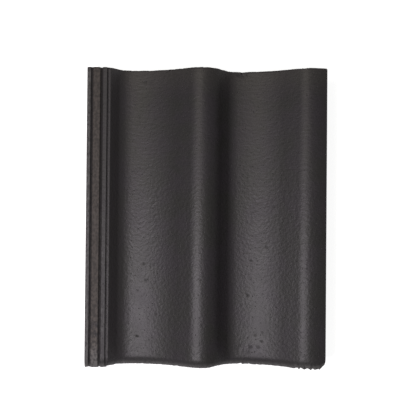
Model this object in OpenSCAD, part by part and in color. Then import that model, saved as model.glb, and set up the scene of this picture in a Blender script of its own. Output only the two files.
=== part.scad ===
// Concrete roof tile with two rolls, two pans and a side lock.
// One solid piece. X runs across the tile: the underlap is at -X and the overlap roll at +X.
// Y runs along it: the head is at +Y and the rounded foot edge at -Y. +Z is the weather side.
// It rests on the floor on its foot rib and its two hanging nibs.
//
// The section is drawn in its own plane: u counts from the left edge, z from the pan's lowest line.

/* [Tile] */
// Length from head to foot
tile_l = 420; // [380:1:450]
// Width that one tile covers on the roof
cover_w = 300; // [296:0.5:310]
// How far the overlap roll reaches past the cover width
side_lap = 36; // [34:0.5:38]
// Thickness of the wave
tile_t = 12; // [10:0.5:13]

/* [Wave] */
// Share of a wave between its lowest line and the crown to its right
rise_share = 0.667; // [0.64:0.001:0.68]
// Height of the middle roll above the pan
roll_rise = 30; // [28:0.5:32]
// Radius of a roll's crown
roll_r = 35; // [31:0.5:38]
// Straight stretch of the slow rise, between the pan's arc and the crown's
rise_flat = 24; // [18:0.5:28]
// Straight stretch of the steep flank, between the crown's arc and the foot's
flank_flat = 10; // [6:0.5:12]
// Flat bottom of the left pan, which sets the lock's flank further out
left_flat = 4; // [2:0.5:6]

/* [Overlap roll] */
// How far the overlap roll's crown stands out from the wave's regular pitch
lap_shift = 4; // [2:0.5:6]
// How far the overlap roll rises above the middle roll
lap_extra = 3; // [2:0.5:4]
// Radius of its flatter outer half
lap_r = 60; // [50:1:80]
// Rounding of its outer arris
lap_edge_r = 3; // [1.5:0.5:4]
// Width of the lip below its outer edge
lip_w = 3.5; // [3:0.5:5]
// Gap between the lip and the innermost rib of the next tile
lip_gap = 0.6; // [0.4:0.1:1]

/* [Side lock] */
// How far the underlap's rim and land lie below the middle roll's crown
lock_drop = 7.5; // [7:0.5:9]
// Thickness of the underlap
lock_t = 13; // [11:0.5:15]
// Centre of the outer groove, from the left edge
groove_a = 6.8; // [6:0.1:7.5]
// Centre of the inner groove, from the left edge
groove_b = 20.3; // [19.5:0.1:21]
// Width of both grooves at the top
groove_w = 4.2; // [3.6:0.1:4.8]
// Depth of both grooves
groove_d = 4; // [3:0.5:5]
// How far each groove wall leans in
groove_lean = 0.8; // [0.4:0.1:1]
// Height of the inner rib below the land
inner_drop = 0.5; // [0:0.1:1]
// Centre of the shallow groove, from the left edge
shallow_pos = 28.8; // [28:0.1:29.2]
// Width of the shallow groove
shallow_w = 2.6; // [2:0.1:3]
// Depth of the shallow groove
shallow_d = 3; // [2.5:0.1:3.5]
// Height of the innermost rib below the land
crest_drop = 2.4; // [2:0.1:3]
// Width of the innermost rib's flat top
crest_w = 1.1; // [1:0.1:2]
// Rounding from the innermost rib into the flank
crest_r = 3; // [2:0.5:4]
// Play between the lock ribs and the grooves
lock_play = 0.5; // [0.3:0.1:0.6]
// Gap between the underlap and the roof of the lock
lock_gap = 0.6; // [0.4:0.1:1]
// Gap between the next tile's edge and the shoulder of the lock
lock_side = 1; // [0.5:0.5:2]
// Chamfer on the underlap's outer arris
rim_chamfer = 1.2; // [0.5:0.1:1.5]

/* [Foot] */
// Radius of the rounded foot edge
nose_r = 9; // [7:0.5:10]
// Share of that radius on the overlap roll, where the concrete is thin
nose_share = 0.45; // [0.3:0.05:0.5]
// Share of that radius on the underlap
lock_share = 0.6; // [0.4:0.05:0.7]
// Depth of the foot rib and of the nibs below the top of the pan
stand_h = 25; // [22:0.5:28]
// Width of the rib under the foot edge
foot_rib_w = 12; // [9:0.5:16]
// Width of each inner weather rib
weather_w = 7; // [5:0.5:9]
// Height of each inner weather rib
weather_h = 6; // [4:0.5:8]
// Distance between the weather ribs
weather_pitch = 24; // [20:1:30]
// Cut corner of the overlap, across the tile
cut_x = 7; // [5:0.5:9]
// Cut corner of the overlap, along the tile
cut_y = 8; // [6:0.5:10]

/* [Nibs] */
// Width of each hanging nib
nib_w = 36; // [30:1:40]
// Distance from the head to the face that hangs on the batten
nib_inset = 22; // [20:0.5:26]
// Thickness of a nib at its tip
nib_t = 14; // [10:0.5:15]
// Chamfer on the nib's tip
nib_chamfer = 2; // [1:0.5:3]
// How far the nib's back leans
nib_lean = 3; // [2:0.5:4]
// How far the nib starts left of the pan's lowest line
nib_left = 8; // [6:0.5:10]

/* [Hidden] */
tile_w = cover_w + side_lap;
pitch = cover_w / 2;
roll_pos = pitch * rise_share;
lap_pos = roll_pos + lap_shift;
lap_rise = roll_rise + lap_extra;
// Radii of two tangent arcs d apart and h high, summed, for a straight stretch s between them
function radii(d, h, s) = (d * d + h * h - s * s) / (2 * h);
// Slope of that stretch, for a sum of radii r
function slope(d, h, r) = asin(r / norm([d, r - h])) - atan2(r - h, d);
pan_r = radii(roll_pos, roll_rise, rise_flat) - roll_r;
foot_r = radii(pitch - roll_pos, roll_rise, flank_flat) - roll_r;
rise_a = slope(roll_pos, roll_rise, pan_r + roll_r);
flank_a = slope(pitch - roll_pos, roll_rise, foot_r + roll_r);
lap_a = slope(lap_pos, lap_rise, pan_r + roll_r);
lock_rise = roll_rise - lock_drop;
crest_z = lock_rise - crest_drop;
rib_z = lock_rise - inner_drop;
floor_z = lock_rise - groove_d;
soffit_z = lock_rise - lock_t;
roof_z = lock_rise + lock_gap;
lip_z = crest_z + lip_gap;
crest_u = shallow_pos + shallow_w / 2 + crest_w;
// The left flank leaves the innermost rib there and runs down to the left pan
left_pan = crest_u + crest_r * tan(flank_a / 2) + foot_r * sin(flank_a)
  + (crest_z - foot_r * (1 - cos(flank_a))) / tan(flank_a) + left_flat;
right_pan = left_pan + pitch;
roll_u = left_pan + roll_pos;
lap_u = right_pan + lap_pos;
shoulder_u = cover_w - lock_side;
head_y = tile_l / 2;
foot_y = -tile_l / 2;
nose_y = foot_y + nose_r;
nose_steps = 6;
foot_end = shoulder_u - 1;

// Points of an arc from angle a0 to a1; keep = 0 leaves out the first point
function arc(c, r, a0, a1, n, keep = 1) =
  [for (i = [1 - keep : n]) let (a = a0 + (a1 - a0) * i / n) [c[0] + r * cos(a), c[1] + r * sin(a)]];

// A hollow of the wave with its steep foot on the left and a flat bottom s, d below the weather face
function hollow(u, a, d, s = 0) = concat(
  arc([u - s, foot_r], foot_r + d, 270 - flank_a, 270, 12),
  arc([u, pan_r], pan_r + d, 270, 270 + a, 14, s > 0 ? 1 : 0));

// The middle roll's crown, d below the weather face
function crown(d) =
  arc([roll_u, roll_rise - roll_r], roll_r - d, 90 + rise_a, 90 - flank_a, 18);

// A point on the left flank's straight line, d below the weather face, at height z
function flank_u(z, d) = let (
  fu = left_pan - left_flat - (foot_r + d) * sin(flank_a),
  fz = foot_r - (foot_r + d) * cos(flank_a))
  fu - (z - fz) / tan(flank_a);

// Height of the straight rise to the overlap roll at u, d below the weather face
function rise_z(u, d) = let (
  pu = right_pan + (pan_r + d) * sin(lap_a),
  pz = pan_r - (pan_r + d) * cos(lap_a))
  pz + (u - pu) * tan(lap_a);

// A groove at u: top width w, depth e below height z, ending at height z2
function groove(u, w, z, e, z2, lean) = [
  [u - w / 2, z],
  [u - w / 2 + lean, z - e],
  [u + w / 2 - lean, z - e],
  [u + w / 2, z2]];

// Rounding from the innermost rib, lowered by e, into the left flank, taken in by d
function crest(e, d) = let (
  r = max(1, crest_r - e),
  z = crest_z - e,
  u = flank_u(z, d) - r * tan(flank_a / 2))
  arc([u, z - r], r, 90, 90 - flank_a, 5);

// Weather face of the underlap from the left edge, all of it lowered by e
function underlap(e, d) = concat(
  [[0, lock_rise - rim_chamfer - e], [rim_chamfer, lock_rise - e]],
  groove(groove_a, groove_w, lock_rise - e, groove_d, lock_rise - e, groove_lean),
  groove(groove_b, groove_w, lock_rise - e, groove_d, rib_z - e, groove_lean),
  groove(shallow_pos, shallow_w, rib_z - e, shallow_d, crest_z - e, groove_lean / 2),
  crest(e, d));

// The overlap roll's weather face and outer arris, e below its full height
function overlap(e) = let (
  cz = lap_rise - lap_r,
  q = lap_r - e - lap_edge_r,
  a = acos((tile_w - lap_edge_r - lap_u) / q))
  concat(
    arc([lap_u, lap_rise - roll_r], roll_r - e, 90 + lap_a, 90, 8),
    arc([lap_u, cz], lap_r - e, 90, a, 5, 0),
    arc([tile_w - lap_edge_r, cz + q * sin(a)], lap_edge_r, a, 0, 5, 0));

// Whole weather face from left to right; d is how far the foot's rounding has taken it in
function weather_face(d) = concat(
  underlap(d * lock_share, d),
  hollow(left_pan, rise_a, d, left_flat),
  crown(d),
  hollow(right_pan, lap_a, d),
  overlap(d * nose_share));

// Underside of the wave from left to right, d below the weather face
function wave_under(d, last_u) = concat(
  hollow(left_pan, rise_a, d, left_flat),
  crown(d),
  hollow(right_pan, lap_a, d),
  [[last_u, rise_z(last_u, d)]]);

// Whole underside from left to right, with the roof of the lock under the overlap
function underside() = concat(
  [for (u = [0, groove_a, groove_b, flank_u(soffit_z, tile_t)]) [u, soffit_z]],
  wave_under(tile_t, shoulder_u),
  [[shoulder_u, roof_z],
  [tile_w - 2 * lip_w, roof_z],
  [tile_w - lip_w, lip_z],
  [tile_w, lip_z]]);

// Underside of the foot rib: the weather face of the tile below it, which carries it
function foot_line() = [
  for (p = concat(
    [[0, lock_rise]],
    crest(0, 0),
    hollow(left_pan, rise_a, 0, left_flat),
    crown(0),
    hollow(right_pan, lap_a, 0),
    [[foot_end, rise_z(foot_end, 0)]]))
  [p[0], p[1] - stand_h]];

function backwards(p) = [for (i = [len(p) - 1 : -1 : 0]) p[i]];

// Triangles between an upper line t and a lower line b, whose points follow t's in the list
function stitch(t, b, i = 0, j = 0) =
  i == len(t) - 1 && j == len(b) - 1 ? [] :
  j == len(b) - 1 || (i < len(t) - 1 && t[i + 1][0] <= b[j + 1][0])
    ? concat([[i, i + 1, len(t) + j]], stitch(t, b, i + 1, j))
    : concat([[i, len(t) + j + 1, len(t) + j]], stitch(t, b, i, j + 1));

// A section swept along the tile from y0 to y1
module sweep(points, y0, y1) {
  translate([0, y1, 0])
    rotate([90, 0, 0])
      linear_extrude(y1 - y0)
        polygon(points);
}

// The wave and both sides of the lock, from the head to the rounded foot
module body() {
  turn = [for (i = [0 : nose_steps]) 90 * i / nose_steps];
  rows_y = concat([head_y], [for (a = turn) nose_y - nose_r * sin(a)]);
  tops = concat([weather_face(0)], [for (a = turn) weather_face(nose_r * (1 - cos(a)))]);
  under = underside();
  n = len(tops[0]);
  m = n + len(under);
  last = len(rows_y) - 1;
  // Round one section: along the weather face, then back along the underside
  ring = concat([for (j = [0 : n - 1]) j], [for (j = [m - 1 : -1 : n]) j]);
  points = [for (i = [0 : last], p = concat(tops[i], under)) [p[0], rows_y[i], p[1]]];
  head = stitch(tops[0], under);
  foot = stitch(tops[last], under);
  walls = [for (i = [0 : last - 1], j = [0 : m - 1], half = [0, 1])
    let (a = i * m + ring[j], b = i * m + ring[(j + 1) % m])
    half == 0 ? [a, b, b + m] : [a, b + m, a + m]];
  polyhedron(points, concat(
    [for (f = head) [f[2], f[1], f[0]]],
    [for (f = foot) [for (k = f) last * m + k]],
    walls), 10);
}

// The rib under the foot edge, which stands on the tile below
module foot_rib() {
  inside = (nose_r + tile_t) / 2;
  start = flank_u(soffit_z, tile_t);
  sweep(concat(
    [[0, soffit_z + 1.5], [start, soffit_z + 1.5]],
    wave_under(inside, foot_end),
    backwards(foot_line())), foot_y + 0.5, foot_y + foot_rib_w);
}

// A rib on the roof of the lock, hanging into the next tile's groove at u
module lock_rib(u) {
  wide = groove_w / 2 - lock_play;
  slim = wide - groove_lean;
  tip = floor_z + lock_play;
  translate([cover_w + u, 0, 0])
    sweep([
      [-wide, roof_z + 1.5],
      [wide, roof_z + 1.5],
      [wide, roof_z],
      [slim, tip],
      [-slim, tip],
      [-wide, roof_z]], foot_y + 3, head_y - 1);
}

// A rib across the underside that stops wind and rain between two courses
module weather_rib(y) {
  inside = tile_t - 2;
  outside = tile_t + weather_h;
  start = flank_u(soffit_z, tile_t);
  sweep(concat(
    [[start, soffit_z + 2]],
    wave_under(inside, shoulder_u - 2),
    backwards(wave_under(outside, shoulder_u - 2)),
    [[start, soffit_z - weather_h]]), y, y + weather_w);
}

// A nib that hangs the tile on its batten
module nib(pan_u) {
  face = head_y - nib_inset;
  back = face + nib_t;
  top = -tile_t / 2;
  translate([pan_u - nib_left, 0, 0])
    rotate([90, 0, 90])
      linear_extrude(nib_w)
        polygon([
          [face, top],
          [face, nib_chamfer - stand_h],
          [face + nib_chamfer, -stand_h],
          [back, -stand_h],
          [back + nib_lean, top]]);
}

// The cut at the overlap's foot corner
module corner_cut() {
  a = [tile_w - cut_x, foot_y];
  b = [tile_w, foot_y + cut_y];
  translate([0, 0, -stand_h])
    linear_extrude(stand_h + lap_rise + 10)
      polygon([a + (a - b), b + (b - a), [tile_w + 2 * cut_x, foot_y - 2 * cut_y]]);
}

module roof_tile() {
  color([0.2, 0.2, 0.2])
    translate([-tile_w / 2, 0, stand_h])
      difference() {
        union() {
          body();
          lock_rib(groove_a);
          lock_rib(groove_b);
          foot_rib();
          weather_rib(nose_y + weather_pitch);
          weather_rib(nose_y + 2 * weather_pitch);
          nib(left_pan);
          nib(right_pan);
        }
        corner_cut();
      }
}

roof_tile();
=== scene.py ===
# %% [markdown]
# # A concrete roof tile
#
# The tile is one casting: a wave of two pans and two rolls, a grooved side lock on its left, a roll that
# laps over the next tile on its right, and a rounded foot. The packed CAD model gives its frame and its
# exact box. Everything below is drawn in that frame: X runs across the tile, Y from foot to head, and Z
# up out of the weather side.

# %% Load the packed tile
import math

import bpy
import numpy as np
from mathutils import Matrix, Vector, noise


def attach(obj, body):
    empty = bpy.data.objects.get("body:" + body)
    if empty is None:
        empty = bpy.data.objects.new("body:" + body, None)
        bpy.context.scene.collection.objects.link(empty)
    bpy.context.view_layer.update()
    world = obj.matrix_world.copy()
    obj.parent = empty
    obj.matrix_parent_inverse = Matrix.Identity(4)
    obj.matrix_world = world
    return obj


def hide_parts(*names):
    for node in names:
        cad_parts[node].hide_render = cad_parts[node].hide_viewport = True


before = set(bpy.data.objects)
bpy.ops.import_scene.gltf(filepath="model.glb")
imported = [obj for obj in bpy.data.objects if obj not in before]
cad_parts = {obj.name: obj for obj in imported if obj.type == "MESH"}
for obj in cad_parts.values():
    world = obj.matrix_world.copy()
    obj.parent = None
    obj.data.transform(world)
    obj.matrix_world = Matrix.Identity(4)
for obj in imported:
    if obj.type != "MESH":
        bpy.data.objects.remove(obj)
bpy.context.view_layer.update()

# %% [markdown]
# ## The sizes of the tile
#
# A tile like this is known by a few sizes: its length, the width that it covers, the height of its roll
# and the place of its lock. The solid's own faces could carry the finish, but they have too few points
# for worn edges and pits. So a finer skin is drawn from the same sizes, and it lies where the solid lies.
# All sizes are in millimetres. u counts across the tile from its left edge, and z up from the lowest line
# of the pans, which is STAND above the floor.

# %% Sizes of the whole tile and its wave, in millimetres
LENGTH, COVER, LAP, THICK, STAND = 420.0, 300.0, 36.0, 12.0, 25.0
WIDTH, PITCH = COVER + LAP, COVER / 2
HEAD, FOOT = LENGTH / 2, -LENGTH / 2


def slopes(*degrees):
    """Slopes in degrees, turned into radians."""
    return tuple(math.radians(a) for a in degrees)


# Each roll is an arc of ROLL_R, ROLL_RISE high, and the long rise to it takes RISE of the pitch. The
# overlap's roll stands LAP_EXTRA higher, and both crowns are shifted a little to one side.
ROLL_R, ROLL_RISE, RISE = 35.0, 30.0, PITCH * 0.667
ROLL_SHIFT, LAP_SHIFT, LAP_EXTRA = -0.6, 2.2, 3.0
RISE_STRAIGHT, LAP_STRAIGHT, FLANK_STRAIGHT = 24.0, 22.0, 10.0

# A steep flank is drawn as radii, with the slopes at which one gives way to the next.
SHOULDERS, SHOULDER_TURNS = (35.0, 29.0, 40.0), slopes(0, 8, 42, 53)
RIGHT_HEEL, RIGHT_TURNS = 15.0, slopes(0, 12, 42, 53)
LEFT_HEEL, LEFT_FLAT = 18.0, 4.0
(HEEL_TURN,) = slopes(12)
print(f"tile {WIDTH:.0f} by {LENGTH:.0f} mm, rolls {PITCH:.0f} mm apart")

# %% Sizes of the lock, the overlap and the foot
# The lock: its height above the pans, its thickness, how far the rib and the crest lie below the land,
# the crest's rounding and flat, the rim's chamfer, and each groove's middle, width and depth
LOCK_RISE, LOCK_T, RIB_DROP, CREST_DROP = 22.5, 13.0, 0.5, 2.4
CREST_R, CREST_FLAT, RIM_CHAMFER = 2.0, 1.3, 1.2
GROOVES = {"outer": (7.0, 4.0, 2.6), "inner": (20.2, 4.4, 3.1), "shallow": (29.0, 2.8, 2.1)}

# The overlap: the radius of its outer side and edge, the clearance of its roof, and the lip below it
LAP_R, LAP_EDGE_R, ROOF_GAP, LIP_W = 60.0, 3.0, 0.6, 3.5

# The foot: its rounding takes NOSE_LONG of the length and drops NOSE_R, less on the overlap and the lock
NOSE_R, NOSE_LONG, NOSE_SHARE, LOCK_SHARE = 9.0, 13.0, 0.45, 0.6
NOSE_Y = FOOT + NOSE_LONG
CUT_X, CUT_Y = 7.0, 8.0
print(f"lock {LOCK_RISE} mm above the pans, foot rounded over {NOSE_LONG} mm")

# %% [markdown]
# The drawing of such a wave gives radii and heights, and the rest follows: two arcs that touch a straight
# between them can only lie in one way. Working this out here, rather than typing angles, keeps the wave
# smooth when a size changes.

# %% Radii, slopes and places that follow from the sizes


def radii(d, h, straight):
    """Radii of two touching arcs, summed, d apart and h high with a straight between them."""
    return (d * d + h * h - straight * straight) / (2 * h)


def slope(d, h, r):
    """Slope of that straight, for a sum of radii r."""
    return math.asin(r / math.hypot(d, r - h)) - math.atan2(r - h, d)


LAP_RISE = ROLL_RISE + LAP_EXTRA
PAN_R = radii(RISE, ROLL_RISE, RISE_STRAIGHT) - ROLL_R
LAP_PAN_R = radii(RISE + LAP_SHIFT, LAP_RISE, LAP_STRAIGHT) - ROLL_R
HEEL_R = radii(PITCH - RISE, ROLL_RISE, FLANK_STRAIGHT) - ROLL_R
RISE_A = slope(RISE + ROLL_SHIFT, ROLL_RISE, PAN_R + ROLL_R)
LAP_A = slope(RISE + LAP_SHIFT, LAP_RISE, LAP_PAN_R + ROLL_R)
FLANK_A = slope(PITCH - RISE, ROLL_RISE, HEEL_R + ROLL_R)

CREST_Z = LOCK_RISE - CREST_DROP
CREST_U = GROOVES["shallow"][0] + GROOVES["shallow"][1] / 2 + CREST_FLAT
LEFT_REACH = HEEL_R * math.tan(FLANK_A / 2) + LEFT_FLAT
LEFT_PAN = CREST_U + CREST_R * math.tan(FLANK_A / 2) + CREST_Z / math.tan(FLANK_A) + LEFT_REACH
RIGHT_PAN = LEFT_PAN + PITCH
ROLL_U, LAP_U = LEFT_PAN + RISE + ROLL_SHIFT, RIGHT_PAN + RISE + LAP_SHIFT
SHOULDER_U, FOOT_END = COVER - 1.0, COVER - 2.0
ROOF_Z, SOFFIT_Z, LIP_Z = LOCK_RISE + ROOF_GAP, LOCK_RISE - LOCK_T, CREST_Z + ROOF_GAP
print(f"pan radius {PAN_R:.1f}, heel radius {HEEL_R:.1f}, flank {math.degrees(FLANK_A):.1f} degrees")
print(f"pans at {LEFT_PAN:.1f} and {RIGHT_PAN:.1f}, crowns at {ROLL_U:.1f} and {LAP_U:.1f}")

# %% [markdown]
# ## The section
#
# On the real machine a roller and a slipper draw the face as one continuous ribbon, so the tile is made
# from one section too. It could be a bevelled curve, but a plain list of points is easier to push about
# afterwards. Every part takes d, the depth by which the face has been taken in: the foot's rounding takes
# in the weather face, and the underside is the same wave taken in by the thickness.

# %% Arcs, and arcs that follow each other
UP, DOWN = math.pi / 2, -math.pi / 2
ARC_STEP, ARC_TURN = 1.7, math.radians(3.2)


def arc(centre, r, a0, a1, count, first=True):
    """Points of an arc from angle a0 to a1, in radians."""
    a = np.linspace(a0, a1, count + 1)[0 if first else 1:]
    return np.stack([centre[0] + r * np.cos(a), centre[1] + r * np.sin(a)], axis=1)


def bends(start, side, bend_radii, turns, d, fine):
    """Arcs that follow each other from a level start, on a crown (side 1) or a hollow (side -1)."""
    out, centre = [], np.array(start) - (0, side * bend_radii[0])
    for r, r_next, a, b in zip(bend_radii, (*bend_radii[1:], 0), turns, turns[1:]):
        count = max(2, round(fine * (b - a) * max(r / ARC_STEP, 1 / ARC_TURN)))
        out.append(arc(centre, r - side * d, side * UP - a, side * UP - b, count, first=not out))
        centre = centre + side * (r - r_next) * np.array((math.sin(b), math.cos(b)))
    return np.concatenate(out)


def span(a, b):
    """How far an arc of radius 1 goes across and down between the slopes a and b."""
    return np.array((math.sin(b) - math.sin(a), math.cos(a) - math.cos(b)))


across_and_down = span(0, FLANK_A) * HEEL_R
print("the plain heel goes", [round(float(v), 1) for v in across_and_down], "mm across and down")

# %% [markdown]
# Both pans start with a heel at the bottom of a steep flank. A single arc there would look turned on a
# lathe. The pressed one is tight low down and softer at both ends, so the heels have two or three radii.
# The last radii aren't typed but solved, so that each heel meets its flank and ends level in its pan.

# %% Heels


def left_heel():
    """The left heel's two radii, so that it touches the flank and is level at its reach."""
    lean = np.array((1, -1 / math.tan(FLANK_A)))
    soft = (LEFT_REACH - LEFT_HEEL * span(HEEL_TURN, FLANK_A) @ lean) / (span(0, HEEL_TURN) @ lean)
    return (soft, LEFT_HEEL), (0, HEEL_TURN, FLANK_A)


def right_heel():
    """The right heel's three radii, so that it meets the crown and is level in the pan."""
    left = np.array((PITCH - RISE - ROLL_SHIFT, ROLL_RISE)) - RIGHT_HEEL * span(*RIGHT_TURNS[1:3])
    for r, a, b in zip(SHOULDERS, SHOULDER_TURNS, SHOULDER_TURNS[1:]):
        left = left - r * span(a, b)
    level, steepest = span(*RIGHT_TURNS[:2]), span(*RIGHT_TURNS[2:])
    soft, steep = np.linalg.solve(np.stack([level, steepest], axis=1), left)
    return (soft, RIGHT_HEEL, steep), RIGHT_TURNS


for side, heel in (("left", left_heel()), ("right", right_heel())):
    print(side, "heel radii from the pan up:", [round(float(r), 1) for r in heel[0]])

# %% The wave
PAN_POINTS, CROWN_POINTS = 38, 8


def hollow(u, heel, r, rise, d, fine):
    """A pan: its heel on the left, and on the right its long rise of radius r up to slope rise."""
    return [bends((u, 0), -1, *heel, d, fine)[::-1],
            arc((u, r), r + d, DOWN, DOWN + rise, round(PAN_POINTS * fine), first=False)]


def crown(d, fine):
    """The middle roll: an arc on its left, and shoulders that turn down faster on its right."""
    left = arc((ROLL_U, ROLL_RISE - ROLL_R), ROLL_R - d, UP + RISE_A, UP, round(CROWN_POINTS * fine))
    return [left, bends((ROLL_U, ROLL_RISE), 1, SHOULDERS, SHOULDER_TURNS, d, fine)[1:]]


def wave(d, fine=1.0):
    """Left pan, middle roll and right pan, taken in by d."""
    right = hollow(RIGHT_PAN, right_heel(), LAP_PAN_R, LAP_A, d, fine)
    right[0] = right[0][1:]
    return hollow(LEFT_PAN, left_heel(), PAN_R, RISE_A, d, fine) + crown(d, fine) + right


def flank_u(z, d):
    """Where the lock's flank, taken in by d, passes height z."""
    return LEFT_PAN - LEFT_REACH - z / math.tan(FLANK_A) - d / math.sin(FLANK_A)


def rise_z(u, d):
    """Height of the straight rise to the overlap roll at u, taken in by d."""
    pan = LAP_PAN_R + d
    return LAP_PAN_R - pan * math.cos(LAP_A) + (u - RIGHT_PAN - pan * math.sin(LAP_A)) * math.tan(LAP_A)


print(f"the lock's soffit meets the wave at u {flank_u(SOFFIT_Z, THICK):.1f}")

# %% [markdown]
# The lock on the left has two deep grooves with a wide flat land between them, then a rib, a shallow
# groove and a narrow crest from which the flank drops into the pan. Water that gets under the next tile
# runs down these grooves. The overlap on the right is a crown that flattens out towards a small rounded
# edge. A groove's wall could be straight, but the paint fills its corners, so a cosine draws it.

# %% The lock, the overlap and the whole weather face


def groove(name, z, z_after):
    """A softly rounded groove between two levels."""
    u, w, depth = GROOVES[name]
    return [(u + t * w / 2, z + (z_after - z) * (t + 1) / 2 - depth * (1 + math.cos(math.pi * t)) / 2)
            for t in np.linspace(-1, 1, 11)]


def lock_face(e, d):
    """The lock, all of it lowered by e, down to the flank taken in by d."""
    land, rib, crest = LOCK_RISE - e, LOCK_RISE - RIB_DROP - e, CREST_Z - e
    r = max(1.0, CREST_R - e)
    u = flank_u(crest, d) - r * math.tan(FLANK_A / 2)
    points = [(0, land - RIM_CHAMFER), (0.35 * RIM_CHAMFER, land - 0.3 * RIM_CHAMFER), (RIM_CHAMFER, land)]
    points += groove("outer", land, land) + groove("inner", land, rib) + groove("shallow", rib, crest)
    return [np.array(points), arc((u, crest - r), r, UP, UP - FLANK_A, 7)]


def overlap_face(e):
    """The overlap's crown, its flatter outer side and its rounded edge, e below full height."""
    top, low = LAP_RISE - ROLL_R, LAP_RISE - LAP_R
    edge_u, reach = WIDTH - LAP_EDGE_R, LAP_R - e - LAP_EDGE_R
    a = math.acos((edge_u - LAP_U) / reach)
    return [arc((LAP_U, top), ROLL_R - e, UP + LAP_A, UP, 12),
            arc((LAP_U, low), LAP_R - e, UP, a, 12, first=False),
            arc((edge_u, low + reach * math.sin(a)), LAP_EDGE_R, a, 0, 6, first=False)]


def weather_face(d):
    """The whole face from the lock's rim to the overlap's edge, taken in by d."""
    return np.concatenate(lock_face(d * LOCK_SHARE, d) + wave(d) + overlap_face(d * NOSE_SHARE))


def cuts(points, step, slack=0.0):
    """How many pieces each stretch of a line needs, for pieces of step and a little slack."""
    lengths = np.linalg.norm(np.diff(points, axis=0), axis=1)
    return np.maximum(1, np.ceil(lengths / step - slack)).astype(int)


def divide(points, counts):
    """Cuts each stretch of a line into its number of equal pieces."""
    out = [points[:1]]
    for a, b, n in zip(points[:-1], points[1:], counts):
        out.append(a + (b - a) * (np.arange(1, n + 1) / n)[:, None])
    return np.concatenate(out)


FACE_STEP, FACE_SLACK = 1.7, 0.1
face_line = weather_face(0)
face_cuts = cuts(face_line, FACE_STEP, FACE_SLACK)
face_line = divide(face_line, face_cuts)
print("points across the weather face:", len(face_line))

# %% [markdown]
# ## The underside
#
# Below, the tile has what the pallet moulded into it: a soffit under the lock, the wave, a roof with two
# ribs that hang into the next tile's grooves, a rib under the foot, two weather ribs and two hanging nibs.
# They could be separate blocks pushed into the body, but that would leave faces hidden inside it. Here
# they are drawn as a height below each point of the underside, so the whole tile stays one closed skin.

# %% Lines that the underside follows
LOCK_RIB_W, LOCK_RIB_TIP, LOCK_RIB_H = 3.2, 1.6, 4.1
WEATHER_RIB_H = 6.0


def wave_under(d, fine=0.4):
    """The wave from the lock to the shoulder, taken in by d."""
    return np.concatenate(wave(d, fine) + [np.array([(SHOULDER_U, rise_z(SHOULDER_U, d))])])


def lock_rib(name):
    """A rib on the overlap's roof; it hangs into a groove of the next tile, one cover width away."""
    u, wide, slim = COVER + GROOVES[name][0], LOCK_RIB_W / 2, LOCK_RIB_TIP / 2
    return [(u - wide, ROOF_Z), (u - slim, ROOF_Z - LOCK_RIB_H), (u + slim, ROOF_Z - LOCK_RIB_H),
            (u + wide, ROOF_Z)]


start_u = flank_u(SOFFIT_Z, THICK)
lip = [(WIDTH - 2 * LIP_W, ROOF_Z), (WIDTH - LIP_W, LIP_Z), (WIDTH, LIP_Z)]
roof = [(SHOULDER_U, ROOF_Z)] + lock_rib("outer") + lock_rib("inner") + lip
under_line = np.concatenate([[(0, SOFFIT_Z), (start_u, SOFFIT_Z)], wave_under(THICK), roof])
rib_start = (start_u, SOFFIT_Z - WEATHER_RIB_H)
weather_rib_line = np.concatenate([[rib_start], wave_under(THICK + WEATHER_RIB_H)])
seat_line = np.concatenate([[(0, LOCK_RISE)]] + lock_face(0, 0)[1:] + [wave_under(0)]) - (0, STAND)
print(f"the foot rib reaches down to {seat_line[:, 1].min():.1f}")

# %% [markdown]
# Steep sides need two points close together, one on each side of the wall. So the columns beside the nibs
# and the end of the foot rib, and the rows beside every rib, are set in pairs with a slight draft, as any
# moulded concrete has.

# %% Columns of the underside, with pairs at each wall
NIB_W, NIB_T, NIB_CHAMFER, NIB_LEAN, NIB_INSET, NIB_LEFT = 36.0, 14.0, 2.0, 3.0, 22.0, 8.0
DRAFT, UNDER_STEP = 0.25, 7.0
RIB_END = SHOULDER_U - 2.0
nib_face = HEAD - NIB_INSET
nib_spans = [(pan - NIB_LEFT, pan - NIB_LEFT + NIB_W) for pan in (LEFT_PAN, RIGHT_PAN)]

wall_u = [start_u - DRAFT, FOOT_END - DRAFT, FOOT_END + DRAFT, RIB_END - DRAFT, RIB_END + DRAFT]
for left, right in nib_spans:
    wall_u += [left - DRAFT, left + DRAFT, left + NIB_CHAMFER]
    wall_u += [right - NIB_CHAMFER, right - DRAFT, right + DRAFT]
wall_points = [(u, np.interp(u, under_line[:, 0], under_line[:, 1])) for u in wall_u]
under_line = np.array(sorted(np.concatenate([under_line, wall_points]).tolist(), key=lambda p: p[0]))
under_line = divide(under_line, cuts(under_line, UNDER_STEP))
print("points across the underside:", len(under_line))

# %% Rows from head to foot
FOOT_RIB_T, WEATHER_RIB_T, WEATHER_RIBS = 12.0, 7.0, (33.0, 57.0)
ROWS, FIRST_ROW, ROW_GAP, NOSE_ROWS = 232, 0.8, 0.6, 10
foot_rib_back = FOOT + FOOT_RIB_T
rib_spans = [(FOOT + start, FOOT + start + WEATHER_RIB_T) for start in WEATHER_RIBS]

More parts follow.
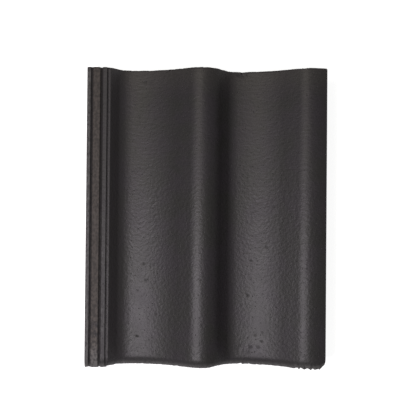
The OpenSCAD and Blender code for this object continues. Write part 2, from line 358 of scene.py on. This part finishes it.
walls = [foot_rib_back, nib_face] + [y for rib in rib_spans for y in rib]
nib_turns = [nib_face + NIB_CHAMFER, nib_face + NIB_T, nib_face + NIB_T + NIB_LEAN]
even = [y for y in np.linspace(HEAD - FIRST_ROW, NOSE_Y, ROWS)
        if min(abs(y - w) for w in walls + nib_turns) > ROW_GAP]
pairs = [w + s for w in walls for s in (-DRAFT, DRAFT)]
straight_rows = sorted([HEAD] + even + nib_turns + pairs, reverse=True)
row_turn = np.concatenate([np.zeros(len(straight_rows)), np.linspace(0, UP, NOSE_ROWS + 1)[1:]])
row_y = np.concatenate([straight_rows, np.full(NOSE_ROWS, NOSE_Y)]) - NOSE_LONG * np.sin(row_turn)
row_d = NOSE_R * (1 - np.cos(row_turn))
print("rows:", len(row_y), "of which", NOSE_ROWS, "go round the foot")

# %% Height of the underside at every row and column
NO_NIB, NIB_SIDE_SLOPE, RIB_STOP_HEAD, RIB_STOP_FOOT = 99.0, 0.6, 0.5, 2.0


def height_on(line, u):
    """Height of a line at u."""
    return np.interp(u, line[:, 0], line[:, 1])


def nib_height(u, y, left, right):
    """Underside height at a nib: its flat tip, its chamfered arrises and its leaning back."""
    past = y - nib_face
    if not -DRAFT < past < NIB_T + NIB_LEAN:
        return np.full(len(u), NO_NIB)
    back = max(0.0, past - NIB_T) * (STAND - THICK / 2) / NIB_LEAN
    side = np.minimum(u - left, right - u)
    arris = max(0.0, NIB_CHAMFER - past) + np.clip(NIB_CHAMFER - side, 0, NIB_CHAMFER) * NIB_SIDE_SLOPE
    return np.where(side > 0, back + arris - STAND, NO_NIB)


def under_height(y):
    """Height of the whole underside at y: the lowest of the wave, the ribs and the nibs."""
    u, z = under_line[:, 0], under_line[:, 1].copy()
    if y < foot_rib_back:
        z = np.where(u < FOOT_END, np.minimum(z, height_on(seat_line, u)), z)
    ribbed = (u > start_u - DRAFT / 2) & (u < RIB_END)
    for y0, y1 in rib_spans:
        if y0 < y < y1:
            z = np.where(ribbed, np.minimum(z, height_on(weather_rib_line, u)), z)
    for left, right in nib_spans:
        z = np.minimum(z, nib_height(u, y, left, right))
    if y > HEAD - RIB_STOP_HEAD or y < FOOT + RIB_STOP_FOOT:
        z = np.where((u > SHOULDER_U + 2 * DRAFT) & (u < WIDTH - 2 * LIP_W), ROOF_Z, z)
    return z


under = np.stack([under_height(y) for y in row_y])
print(f"underside from {under.min():.1f} to {under.max():.1f}")

# %% [markdown]
# ## The body
#
# The weather face and the underside are laid out as one grid of rows from head to foot, and the last rows
# swing down over the rounded foot. An extruded curve would do for the straight part, but not for a foot
# where the wave, the lock and the overlap are taken in by different amounts. The ring of each row runs
# along the face and back along the underside.

# %% Rows of the body
n_face, n_under, n_rows = len(face_line), len(under_line), len(row_y)
skin = np.zeros((n_rows, n_face + n_under, 3))
skin[:, :, 1] = row_y[:, None]
for i, d in enumerate(row_d):
    row_line = face_line if d == 0 else divide(weather_face(d), face_cuts)
    skin[i, :n_face, 0], skin[i, :n_face, 2] = row_line[:, 0], row_line[:, 1]
skin[:, n_face:, 0] = under_line[::-1, 0]
skin[:, n_face:, 2] = under[:, ::-1]
print("points in the skin:", skin.shape[0] * skin.shape[1])

# %% [markdown]
# ## Worn and torn ends
#
# Each tile is chopped off the stiff wet ribbon, so its foot is crumbly, most of all at the lock and under
# the overlap roll, and its head has torn spots and small burrs. A boolean cut with a rough block would
# make ragged slivers. Instead each column of points is drawn in by its own smooth, repeatable amount, and
# never pushed out past the true length.

# %% How far the ends are drawn in
FOOT_PLAIN, FOOT_REACH, FOOT_SEED = 0.26, 21.0, 1.5
HEAD_PLAIN, HEAD_REACH, HEAD_SEED = 0.2, 5.0, 21.5
# Torn places, as (from the left edge, half width, depth)
FOOT_TORN = ((34, 10, 1.3), (56, 14, 0.7), (300, 10, 1.1), (314, 24, 2.0), (3, 5, 0.8),
             (190, 14, 0.4), (218, 14, 1.0))
HEAD_TORN = ((217, 11, 0.9), (300, 9, 1.2), (320, 9, 0.8), (200, 5, 0.4), (90, 6, 0.3), (20, 9, 0.3))


def rough(x, y=0.0, z=0.0, octaves=3):
    """Smooth repeatable unevenness between about -1 and 1."""
    return noise.fractal(Vector((x, y, z)), 0.8, 2.1, octaves, noise_basis="PERLIN_ORIGINAL")


def loss(u, plain, torn, seed):
    """Loss at u: crumbs of 5 and 2 mm everywhere, and more of it at the torn places."""
    total = plain * (1 + 1.3 * rough(u / 5.3, seed) + 2.2 * rough(u / 1.9, seed + 7))
    for centre, half, depth in torn:
        here = max(0.0, 1 - abs(u - centre) / half) ** 0.6
        total += depth * here * (0.5 + 1.6 * rough(u / 2.1, seed + 13))
    return max(0.0, total)


for j in range(skin.shape[1]):
    u, y = skin[0, j, 0], skin[:, j, 1]
    corner = max(0.0, u - (WIDTH - CUT_X)) * CUT_Y / CUT_X
    near_foot = np.clip((FOOT + FOOT_REACH - y) / FOOT_REACH, 0, 1)
    y += (corner + loss(u, FOOT_PLAIN, FOOT_TORN, FOOT_SEED)) * near_foot
    near_head = np.clip(1 - (HEAD - y) / HEAD_REACH, 0, 1)
    y -= loss(u, HEAD_PLAIN, HEAD_TORN, HEAD_SEED) * near_head
print(f"foot at {skin[-1, :, 1].min():.2f} to {skin[-1, :, 1].max():.2f}, with the cut corner")

# %% [markdown]
# ## The drawn face
#
# The slipper that smooths the face leaves faint cross-wise chatter towards the head, long slow waves, and
# open pits where grains tore out. Bump alone would vanish at a glancing look along the tile, so whatever
# shows in a low light goes into the mesh; grain finer than two millimetres is left to the finish.

# %% Pits, and how far the face lies below its true place
# Pits, as (from the left edge, from the foot, radius, depth)
PITS = ((71.4, 41, 1.4, 0.8), (247.7, 35, 1.6, 0.75), (253, 170, 1.5, 0.7), (272, 196, 1.4, 0.6),
        (233, 150, 1.5, 0.7), (229, 100, 1.6, 0.7), (79, 144, 1.5, 0.7), (82, 121, 1.5, 0.6),
        (71, 106, 1.5, 0.5), (233.5, 26, 2.2, 0.5), (239, 43, 1.9, 0.45), (79, 404, 1.5, 0.6),
        (219, 28, 2.2, 0.35), (215, 23.5, 2.0, 0.35), (243.5, 26, 2.0, 0.4), (249, 47.5, 1.6, 0.4),
        (231, 18, 2.0, 0.3), (118, 224, 1.4, 0.4), (99, 318, 1.3, 0.4), (215, 262, 1.4, 0.4),
        (164, 61, 1.5, 0.4), (309, 141, 1.4, 0.4), (288, 84, 1.4, 0.4), (96, 72, 1.4, 0.5),
        (262, 228, 1.4, 0.4))
PIT_SPREAD, HEAD_DIP, LEAST_DEPTH = 1.25, 0.45, 0.02
CHATTER_PITCH, CHATTER_DEPTH = 6.8, 0.018
TORN_U, TORN_HALF, TORN_LONG = 217, 11, 10


def drawn_depth(u, y):
    """How far the drawn face lies below its true place, with chatter in the upper part of the pans."""
    depth = 0.12 + 0.06 * rough(u / 26, y / 70, 4.0, 2) + 0.03 * rough(u / 5, y / 5, 9.0)
    shake = math.sin(2 * math.pi * (y + 6 * rough(u / 24, y / 24, 2.0, 2)) / CHATTER_PITCH)
    pans = math.exp(-((u - LEFT_PAN - 15) / 26) ** 2) + math.exp(-((u - RIGHT_PAN - 22) / 32) ** 2)
    return depth + CHATTER_DEPTH * shake * pans * min(1.0, max(0.0, (y + 60) / 100))


def torn_depth(u, y):
    """The torn patch just behind the head edge, in the right pan."""
    away = math.hypot((u - TORN_U) / TORN_HALF, (HEAD - y) / TORN_LONG)
    return max(0.0, 1 - away) ** 0.6 * max(0.0, 0.35 + 1.6 * rough(u / 2.3, y / 2.3, 5.0))


face = skin[:, :n_face]
torn = np.array([[torn_depth(u, y) for u, y in row[:, :2]] for row in face])
depths = torn + [[drawn_depth(u, y) for u, y in row[:, :2]] for row in face]
pit_values = np.clip(torn * 1.6, 0, 1)
for u, from_foot, r, deep in PITS:
    away = np.hypot(face[..., 0] - u, face[..., 1] - FOOT - from_foot) / (PIT_SPREAD * r)
    dent = np.clip(1 - away ** 2, 0, 1)
    depths += deep * dent
    pit_values = np.maximum(pit_values, dent * min(1.0, 0.8 * deep))
depths[0] += HEAD_DIP
print(f"face lies {depths.min():.2f} to {depths.max():.2f} below its true place, with {len(PITS)} pits")

# %% Press the face in, and pimple the underside
normals = np.cross(np.gradient(face, axis=0), np.gradient(face, axis=1))
normals /= np.maximum(1e-9, np.linalg.norm(normals, axis=2))[..., None]
normals[:, 0], normals[:, -1] = (-1, 0, 0), (1, 0, 0)
face -= normals * np.clip(depths, LEAST_DEPTH, None)[..., None]

below = skin[:, n_face:]
for row in below:
    for point in row:
        point[2] += 0.1 + 0.09 * rough(point[0] / 9, point[1] / 9, 40.0, 2)
print("underside unevenness done on", below.shape[0] * below.shape[1], "points")

# %% [markdown]
# ## From rows to a mesh
#
# Neighbouring rows are joined by four-sided faces, and the head and foot are closed with one face each.
# The finish needs to know where the face is a worn land or rim, where a pit is, where the foot's edge gets
# a painted reflection of the floor, and where no coat was sprayed. A painted picture could say so, but
# numbers kept on the points stay sharp at any distance and follow the sizes.

# %% Build the mesh
SHARP_ANGLE = math.radians(32)
ring = n_face + n_under
points = (skin.reshape(-1, 3) - (WIDTH / 2, 0, 0) + (0, 0, STAND)) / 1000
r, c = np.meshgrid(np.arange(n_rows - 1), np.arange(ring), indexing="ij")
a, b = (r * ring + c).ravel(), (r * ring + (c + 1) % ring).ravel()
quads = np.stack([a, a + ring, b + ring, b], axis=1)
caps = [list(range(ring)), list(range(n_rows * ring - 1, (n_rows - 1) * ring - 1, -1))]
mesh = bpy.data.meshes.new("roof_tile_skin")
mesh.from_pydata(points.tolist(), [], quads.tolist() + caps)
mesh.validate()
mesh.shade_smooth()
mesh.set_sharp_from_angle(angle=SHARP_ANGLE)
print("faces:", len(mesh.polygons), "triangles:", 2 * len(quads) + 2 * (ring - 2))

# %% Masks on the points
# Where round the foot the painted reflection of the pale floor starts, and the angle over which it grows
EDGE_FROM, EDGE_OVER = math.radians(22), math.radians(40)
columns = np.concatenate([face_line[:, 0], under_line[::-1, 0]])
on_face = np.arange(ring) < n_face


def band(left, right, soft):
    """1 between left and right, falling to 0 over soft on either side, on the weather face only."""
    values = np.clip((columns - left) / soft + 1, 0, 1) * np.clip((right - columns) / soft + 1, 0, 1)
    return np.ones((n_rows, 1)) * values * on_face


outer_u, inner_u = GROOVES["outer"][0], GROOVES["inner"][0]
masks = {
    "land": band(outer_u + 2.2, inner_u - 2.4, 1.6),
    "rim": band(0, outer_u - 2.5, 1.2),
    "lock": band(0, 32, 1.0),
    # The next band is the lock's flank, which is given a paler coat
    "thin": band(34, 44, 9.0),
    "bare": np.ones((n_rows, 1)) * ~on_face,
    # The next mask is the foot's lower edge, where a painted reflection of the pale floor goes
    "edge": np.clip((row_turn - EDGE_FROM) / EDGE_OVER, 0, 1)[:, None] * on_face,
    "pit": np.concatenate([pit_values, np.zeros((n_rows, n_under))], axis=1),
}
for name, values in masks.items():
    mesh.attributes.new(name, "FLOAT", "POINT").data.foreach_set("value", values.ravel().astype(np.float32))
print("masks:", {name: round(float(values.mean()), 3) for name, values in masks.items()})

# %% The tile stands for the CAD solid
tile = bpy.data.objects.new("tile_skin", mesh)
bpy.context.scene.collection.objects.link(tile)
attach(tile, "root")
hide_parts("roof_tile")
print("tile box:", [round(v * 1000, 2) for v in tile.dimensions])

# %% [markdown]
# ## Shader maths in Python
#
# Wiring nodes by hand hides the sums. This small class wraps a socket so that a sum can be written as a
# sum: 1 - mask adds one Math node. Colours and vectors take Vector Math and Mix nodes instead, because a
# Math node would turn a colour grey. Its node method adds any other node.

# %% A socket that can be used in sums


class Wire:
    """An output socket that takes part in sums; numbers alone stay in Python."""

    def __init__(self, socket):
        self.socket = socket

    @staticmethod
    def node(tree, kind, settings, sockets, output=0):
        """Adds a node: its settings first, then the value or link of each socket."""
        made = tree.nodes.new(kind)
        for name, value in settings.items():
            setattr(made, name, value)
        for name, value in sockets.items():
            socket = made.inputs[name]
            if isinstance(value, Wire):
                tree.links.new(value.socket, socket)
            elif socket.type == "RGBA":
                socket.default_value = (*value, 1.0)
            elif socket.type == "VECTOR" and not isinstance(value, tuple):
                socket.default_value = (value,) * 3
            else:
                socket.default_value = value
        return Wire(made.outputs[output]) if made.outputs else None

    def calc(self, operation, a, b):
        """One Math node, or a Vector Math node where a colour or a vector takes part."""
        many = any(isinstance(v, tuple) or isinstance(v, Wire) and v.socket.type != "VALUE" for v in (a, b))
        kind = "ShaderNodeVectorMath" if many else "ShaderNodeMath"
        return Wire.node(self.socket.id_data, kind, {"operation": operation}, {0: a, 1: b})

    def __add__(self, other):
        return self.calc("ADD", self, other)

    def __radd__(self, other):
        return self.calc("ADD", other, self)

    def __sub__(self, other):
        return self.calc("SUBTRACT", self, other)

    def __rsub__(self, other):
        return self.calc("SUBTRACT", other, self)

    def __mul__(self, other):
        return self.calc("MULTIPLY", self, other)

    def __rmul__(self, other):
        return self.calc("MULTIPLY", other, self)

    def smooth(self, low, high):
        """Rises smoothly from 0 at low to 1 at high."""
        settings = {"interpolation_type": "SMOOTHSTEP"}
        sockets = {"Value": self, "From Min": low, "From Max": high}
        return Wire.node(self.socket.id_data, "ShaderNodeMapRange", settings, sockets)

    def mix(self, a, b):
        """This mask blends colour a into colour b."""
        sockets = {0: self, 6: a, 7: b}
        return Wire.node(self.socket.id_data, "ShaderNodeMix", {"data_type": "RGBA"}, sockets, 2)


def new_material(name):
    """An empty material and its node tree."""
    made = bpy.data.materials.new(name)
    made.use_nodes = True
    made.node_tree.nodes.clear()
    return made, made.node_tree


print("a wire can", [name for name in vars(Wire) if not name.startswith("_")])

# %% [markdown]
# ## The finish
#
# The tile is through-coloured grey concrete with a thin satin coat, sprayed on while the face was fresh.
# The coat follows the sand grains and closes only the finest pores. The land between the grooves was
# wiped by the machine and kept a browner, duller skin. A picture of concrete would stretch on the steep
# flanks, so every pattern is worked out from the tile's own coordinates. First come those, and the masks.

# %% Coordinates and masks of the finish
coat, tree = new_material("charcoal_coat")
place = Wire.node(tree, "ShaderNodeTexCoord", {}, {}, "Object")
along = Wire.node(tree, "ShaderNodeSeparateXYZ", {}, {"Vector": place}, "Y")
land, rim, lock, thin, bare, edge, pit = (
    Wire.node(tree, "ShaderNodeAttribute", {"attribute_name": name}, {}, "Fac") for name in masks)


def clouds(size_mm, detail=2.0, stretch=(1.0, 1.0, 1.0)):
    """Noise between 0 and 1 with lumps of a given size, drawn out by stretch."""
    where = place * tuple(1000.0 / (size_mm * s) for s in stretch)
    sockets = {"Vector": where, "Scale": 1.0, "Detail": detail, "Roughness": 0.55}
    return Wire.node(tree, "ShaderNodeTexNoise", {}, sockets)


def grains(size_mm):
    """Distance to the nearest sand grain's middle, in grains."""
    return Wire.node(tree, "ShaderNodeTexVoronoi", {}, {"Vector": place * (1000.0 / size_mm), "Scale": 1.0})


print("masks in the finish:", ", ".join(masks))

# %% [markdown]
# The relief is a height in metres, so one Bump node with a distance of 1 m shows it at its true depth:
# lumps of about four millimetres, sand grains of one and a half, cross-wise scales towards the head, and
# scattered pores. The face was smoothed hardest at the head, and left coarser on the lock and at the
# rounded foot, where the slipper doesn't reach.

# %% Relief of the coat
LUMP_H, SAND_H, SCALE_H, PORE_H = 0.00043, 0.00007, 0.00026, 0.00025
to_head = along.smooth(0.02, 0.11)
nose = along.smooth(-0.1945, -0.205)
lumps = clouds(4.2, 1.0) * (1.0 - to_head * 0.7 + nose * 0.9 + lock * 0.5) * LUMP_H
sand = grains(1.6) * (nose * 1.5 + 1.0) * -SAND_H
scales = clouds(3.4, 1.0, (2.6, 1.0, 1.0)) * to_head * SCALE_H
pores = grains(5.5).smooth(0.16, 0.04)
relief = lumps + sand + scales - pores * PORE_H
normal = Wire.node(tree, "ShaderNodeBump", {}, {"Strength": 1.0, "Distance": 1.0, "Height": relief})
print("relief in millimetres:", {"lumps": LUMP_H * 1000, "sand": SAND_H * 1000, "pores": PORE_H * 1000})

# %% [markdown]
# The coat stays dark everywhere: charcoal with slow cloudy changes, a little warmer and paler at the very
# head, and a fine salt and pepper of covered and half-bare grains. The pores and pits get painted shade,
# and so does the rounded foot, where it turns away from the lamps. The coat is paler on the lock and its
# flank, and rubbed off the rib towards the foot, where the next tile slid over it. A few plain colours and
# the masks say this more clearly than one long ramp would.

# %% Colours of the coat
CHARCOAL, CHARCOAL_COOL = (0.0205, 0.0196, 0.018), (0.023, 0.0196, 0.0225)
CHARCOAL_WARM, CHARCOAL_PALER = (0.034, 0.0305, 0.028), (0.036, 0.033, 0.034)
# Painted shade for the rounded foot and for the pores and pits, and the colour of the worn coat
NOSE_SHADE, PIT_SHADE, WORN = (0.011, 0.0105, 0.011), (0.007, 0.007, 0.007), (0.085, 0.083, 0.080)

at_head = along.smooth(0.165, 0.208)
rubbed = lock * along.smooth(0.08, -0.08) * clouds(3.0, stretch=(1.0, 2.5, 1.0)).smooth(0.45, 0.7)
speckle = clouds(1.5).smooth(0.3, 0.7) * 0.5 + 0.75
charcoal = clouds(38).smooth(0.35, 0.65).mix(CHARCOAL, CHARCOAL_COOL)
charcoal = (at_head * 0.7).mix(charcoal, CHARCOAL_WARM) * speckle
# Paler on the lock and on its flank
charcoal = (thin * 0.7 + lock * 0.5).mix(charcoal, CHARCOAL_PALER)
charcoal = (rubbed * 0.45).mix(charcoal, WORN)
# Painted shade on the rounded foot, where it turns away from the lamps
charcoal = (nose * 0.6).mix(charcoal, NOSE_SHADE)
# Painted shade in the pores, the pits and the torn patch
charcoal = (pores * 0.6 + pit).mix(charcoal, PIT_SHADE)
print("nodes so far:", len(tree.nodes))

# %% [markdown]
# Where the coat is missing, the concrete shows: the brown land, greyer and more speckled at the foot and
# with a dark stain short of it, the worn rim, and the whole underside, which never saw the spray. The
# lower edge of the foot gets a painted reflection of the pale floor, in patches. These are laid over the
# coat in the order land, rim, foot edge, underside.

# %% Colours of the bare and worn parts, and of the painted floor reflection
LAND_BROWN, LAND_GREY, STAIN = (0.053, 0.044, 0.038), (0.077, 0.0735, 0.071), (0.024, 0.021, 0.022)
BARE_GREY, BARE_DARK, FLOOR_REFLECTION = (0.23, 0.22, 0.205), (0.15, 0.143, 0.135), (0.13, 0.127, 0.125)

stain = along.smooth(-0.175, -0.162) * along.smooth(-0.140, -0.152)
stain = stain * clouds(4, stretch=(1.0, 2.0, 1.0)).smooth(0.4, 0.6)
land_speckle = clouds(3.0, stretch=(1.0, 1.4, 1.0)).smooth(0.38, 0.62)
land_speckle = land_speckle * (along.smooth(-0.1, -0.19) * 0.5 + 0.6)
land_tone = along.smooth(-0.165, -0.205).mix(LAND_BROWN, LAND_GREY)
land_tone = stain.mix(land_tone, STAIN) * (land_speckle + 0.62)
rim_wear = clouds(2.5, stretch=(1.0, 3.0, 1.0)).smooth(0.35, 0.65)
reflection_patches = clouds(3.0).smooth(0.3, 0.6) * 0.5 + 0.5

colour = land.mix(charcoal, land_tone)
colour = (rim * rim_wear).mix(colour, WORN)
# A painted reflection of the pale floor on the foot's lower edge, broken into patches
colour = (edge * reflection_patches).mix(colour, FLOOR_REFLECTION)
colour = bare.mix(colour, clouds(14, 3.0).mix(BARE_DARK, BARE_GREY) * speckle)
print("nodes with the bare parts:", len(tree.nodes))

# %% [markdown]
# The coat has a satin sheen, and whatever is bare, rubbed or torn is duller. One roughness with the masks
# added to it does this, so no second shader has to be mixed in.

# %% Gloss, and the whole finish
SATIN = 0.45
dull = lock * 0.10 + land * 0.10 + nose * 0.3 + pit * 0.4 + bare * 0.33 + clouds(20) * 0.08
shader = Wire.node(tree, "ShaderNodeBsdfPrincipled", {},
                   {"Base Color": colour, "Roughness": dull + SATIN, "Normal": normal})
Wire.node(tree, "ShaderNodeOutputMaterial", {}, {"Surface": shader})
mesh.materials.append(coat)
print("nodes in the finish:", len(tree.nodes))

# %% [markdown]
# ## Floor, light and camera
#
# The tile lies on a pale sheet. A plain matt one would show a heavy shadow along the tile's right side.
# This one glows as the camera sees it, which keeps the shadow faint, as on a light table. On the tile it
# shines only weakly, since a full glow would brighten the steep flanks from below.

# %% Floor
FLOOR_HALF, PAPER, GLOW, GLOW_ON_TILE = 3.0, (0.6, 0.6, 0.6), 0.85, 0.25
corners = [(-FLOOR_HALF, -FLOOR_HALF, 0), (FLOOR_HALF, -FLOOR_HALF, 0),
           (FLOOR_HALF, FLOOR_HALF, 0), (-FLOOR_HALF, FLOOR_HALF, 0)]
floor_mesh = bpy.data.meshes.new("pale_floor")
floor_mesh.from_pydata(corners, [], [(0, 1, 2, 3)])
floor = bpy.data.objects.new("pale_floor", floor_mesh)
bpy.context.scene.collection.objects.link(floor)
paper, paper_tree = new_material("pale_paper")
glow = Wire.node(paper_tree, "ShaderNodeLightPath", {}, {}) * (1 - GLOW_ON_TILE) + GLOW_ON_TILE
sheet = Wire.node(paper_tree, "ShaderNodeBsdfPrincipled", {}, {
    "Base Color": PAPER, "Roughness": 0.9, "Emission Color": glow, "Emission Strength": GLOW})
Wire.node(paper_tree, "ShaderNodeOutputMaterial", {}, {"Surface": sheet})
floor_mesh.materials.append(paper)
print("floor is", 2 * FLOOR_HALF, "m square")

# %% [markdown]
# A soft lamp stands high on the left and nearer the foot, so the pans and crowns catch it on their left
# sides and the steep flanks fall dark. A second, weaker and warmer one stands on the left near the head,
# and keeps the upper half from going flat. A dim even sky fills in the rest. It could be one big window,
# but two small lamps show how the light falls off along the tile.

# %% Lamps and sky
LAMP_SIZE, LAMP_AIM = 0.2, (0, 0, 0.03)
SKY_SEEN, SKY_ON_TILE = 0.76, 0.228


def lamp(name, place, power, tint):
    """A soft round lamp that points at the tile's middle."""
    data = bpy.data.lights.new(name, "AREA")
    data.shape, data.size, data.energy, data.color = "DISK", LAMP_SIZE, power, tint
    made = bpy.data.objects.new(name, data)
    made.location = place
    made.rotation_euler = (Vector(LAMP_AIM) - Vector(place)).to_track_quat("-Z", "Y").to_euler()
    made.visible_camera = False
    bpy.context.scene.collection.objects.link(made)


lamp("key_lamp", (-0.37, -0.29, 1.05), 6.8, (1.0, 0.93, 1.0))
lamp("second_lamp", (-0.27, 0.36, 1.05), 1.35, (1.0, 0.92, 0.75))
world = bpy.data.worlds.new("pale_studio")
bpy.context.scene.world = world
world.use_nodes = True
sky = world.node_tree
sky.nodes.clear()
strength = Wire.node(sky, "ShaderNodeLightPath", {}, {}) * SKY_SEEN + SKY_ON_TILE
backdrop = Wire.node(sky, "ShaderNodeBackground", {}, {"Color": (1, 1, 1), "Strength": strength})
Wire.node(sky, "ShaderNodeOutputWorld", {}, {"Surface": backdrop})
print("lamps:", [item.name for item in bpy.data.lights])

# %% [markdown]
# The camera hangs a metre above the tile and looks almost straight down, as one would over a tile on a
# table. It tips and turns by about a degree, since a camera held by hand is never quite square. Its lens
# is a short telephoto, and a small shift puts the tile where it sits in the frame.

# %% Camera
camera_data = bpy.data.cameras.new("camera")
camera_data.lens, camera_data.sensor_width = 60.29, 36.0
camera_data.shift_x, camera_data.shift_y = -0.0311, 0.0038
camera = bpy.data.objects.new("camera", camera_data)
camera.location = (0.0022, 0.0, 1.019)
camera.rotation_euler = (math.radians(0.73), math.radians(-1.04), math.radians(0.476))
bpy.context.scene.collection.objects.link(camera)
bpy.context.scene.camera = camera
bpy.context.scene.view_settings.view_transform = "Standard"
bpy.context.scene.view_settings.look = "None"
print("camera looks down from", round(camera.location.z, 3), "m")

# %% [markdown]
# ## The skin and the solid's box
#
# The finish and the wear may only take from the tile, so the skin has to stay inside the solid's box.
